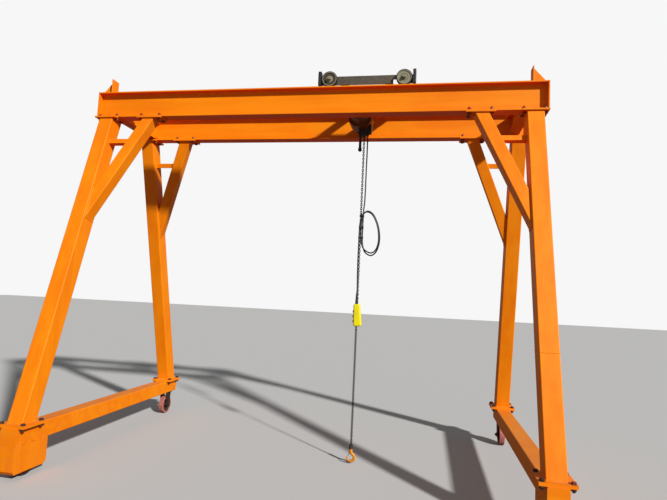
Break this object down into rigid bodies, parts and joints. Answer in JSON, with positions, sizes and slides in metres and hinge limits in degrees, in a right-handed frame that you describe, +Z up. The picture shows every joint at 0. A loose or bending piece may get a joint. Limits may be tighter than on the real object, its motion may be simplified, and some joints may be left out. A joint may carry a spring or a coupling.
{
  "type": "gantry crane",
  "caption": "Two-girder gantry crane on splayed box legs with end beams on wheels, and an electric chain hoist on a top-running trolley.",
  "frame": {"origin": "on the floor, under the middle of the crane", "axes": "+X along the girders to the right, +Y to the rear, away from the housed front wheels, +Z up"},
  "size_m": [4.24, 2.564, 3.586],
  "materials": {
    "orange_paint": "semi-gloss brushed enamel, dusty, with small runs and chips",
    "red_polyurethane": "scuffed cast polyurethane, dusty",
    "dark_iron": "dark, greasy, dusty",
    "bare_steel": "unpainted, dull, with a film of rust",
    "black_paint": "satin",
    "hoist_casting": "satin hammered enamel",
    "chain_steel": "blackened, oiled",
    "black_rubber": "matte",
    "yellow_plastic": "bright moulded, slightly glossy",
    "hook_paint": "enamel over a forging, worn in the bowl"
  },
  "bodies": {
    "frame": {"front_girder": "orange_paint", "rear_girder": "orange_paint", "left_cross_beam": "orange_paint", "right_cross_beam": "orange_paint", "left_front_leg": "orange_paint", "left_rear_leg": "orange_paint", "right_front_leg": "orange_paint", "right_rear_leg": "orange_paint", "left_front_brace": "orange_paint", "left_rear_brace": "orange_paint", "right_front_brace": "orange_paint", "right_rear_brace": "orange_paint", "left_struts": "orange_paint", "right_struts": "orange_paint", "left_end_stops": "orange_paint", "right_end_stops": "orange_paint", "left_end_beam": "orange_paint", "right_end_beam": "orange_paint", "left_front_foot": "orange_paint", "right_front_foot": "orange_paint", "left_front_wheel": "dark_iron", "right_front_wheel": "dark_iron", "left_wheel_fork": "dark_iron", "right_wheel_fork": "dark_iron"},
    "left_rear_wheel": {"left_rear_tyre": "red_polyurethane", "left_rear_hub": "dark_iron"},
    "right_rear_wheel": {"right_rear_tyre": "red_polyurethane", "right_rear_hub": "dark_iron"},
    "trolley": {"front_trolley_plate": "bare_steel", "rear_trolley_plate": "bare_steel", "trolley_cross_tubes": "bare_steel", "left_buffers": "black_paint", "right_buffers": "black_paint", "hoist_hanger": "bare_steel", "hoist_gear_case": "hoist_casting", "hoist_motor": "hoist_casting", "hoist_brake_cover": "hoist_casting", "chain_guide": "black_paint", "chain_tail_stop": "black_rubber", "chain_face_links": "chain_steel", "chain_edge_links": "chain_steel", "chain_coupling": "black_paint", "cable_outlet": "black_rubber", "pendant_cable": "black_rubber", "pendant_gland": "black_rubber", "pendant_body": "yellow_plastic", "pendant_buttons": "black_rubber"},
    "front_left_roller": {"front_left_roller": "bare_steel"},
    "front_right_roller": {"front_right_roller": "bare_steel"},
    "rear_left_roller": {"rear_left_roller": "bare_steel"},
    "rear_right_roller": {"rear_right_roller": "bare_steel"},
    "hook": {"hook": "hook_paint", "hook_latch": "bare_steel"}
  },
  "joints": [
    {"name": "trolley_travel", "type": "slide", "parent": "frame", "child": "trolley", "axis": [1, 0, 0], "range_m": [-2.08, 0.98]},
    {"name": "hook_swivel", "type": "hinge", "parent": "trolley", "child": "hook", "pos_m": [0.5, 0, 0.12], "axis": [0, 0, 1], "continuous": true},
    {"name": "left_wheel_spin", "type": "hinge", "parent": "frame", "child": "left_rear_wheel", "pos_m": [-2, 1.165, 0.104], "axis": [1, 0, 0], "continuous": true},
    {"name": "right_wheel_spin", "type": "hinge", "parent": "frame", "child": "right_rear_wheel", "pos_m": [2, 1.165, 0.104], "axis": [1, 0, 0], "continuous": true},
    {"name": "front_left_roller_spin", "type": "hinge", "parent": "trolley", "child": "front_left_roller", "pos_m": [0.21, -0.404, 3.5123], "axis": [0, 1, 0], "continuous": true},
    {"name": "front_right_roller_spin", "type": "hinge", "parent": "trolley", "child": "front_right_roller", "pos_m": [0.89, -0.404, 3.5123], "axis": [0, 1, 0], "continuous": true},
    {"name": "rear_left_roller_spin", "type": "hinge", "parent": "trolley", "child": "rear_left_roller", "pos_m": [0.21, 0.404, 3.5123], "axis": [0, 1, 0], "continuous": true},
    {"name": "rear_right_roller_spin", "type": "hinge", "parent": "trolley", "child": "rear_right_roller", "pos_m": [0.89, 0.404, 3.5123], "axis": [0, 1, 0], "continuous": true}
  ],
  "couplings": [
    {"joint": "front_left_roller_spin", "follows": "trolley_travel", "rad_per_m": 13.889},
    {"joint": "front_right_roller_spin", "follows": "trolley_travel", "rad_per_m": 13.889},
    {"joint": "rear_left_roller_spin", "follows": "trolley_travel", "rad_per_m": 13.889},
    {"joint": "rear_right_roller_spin", "follows": "trolley_travel", "rad_per_m": 13.889}
  ]
}
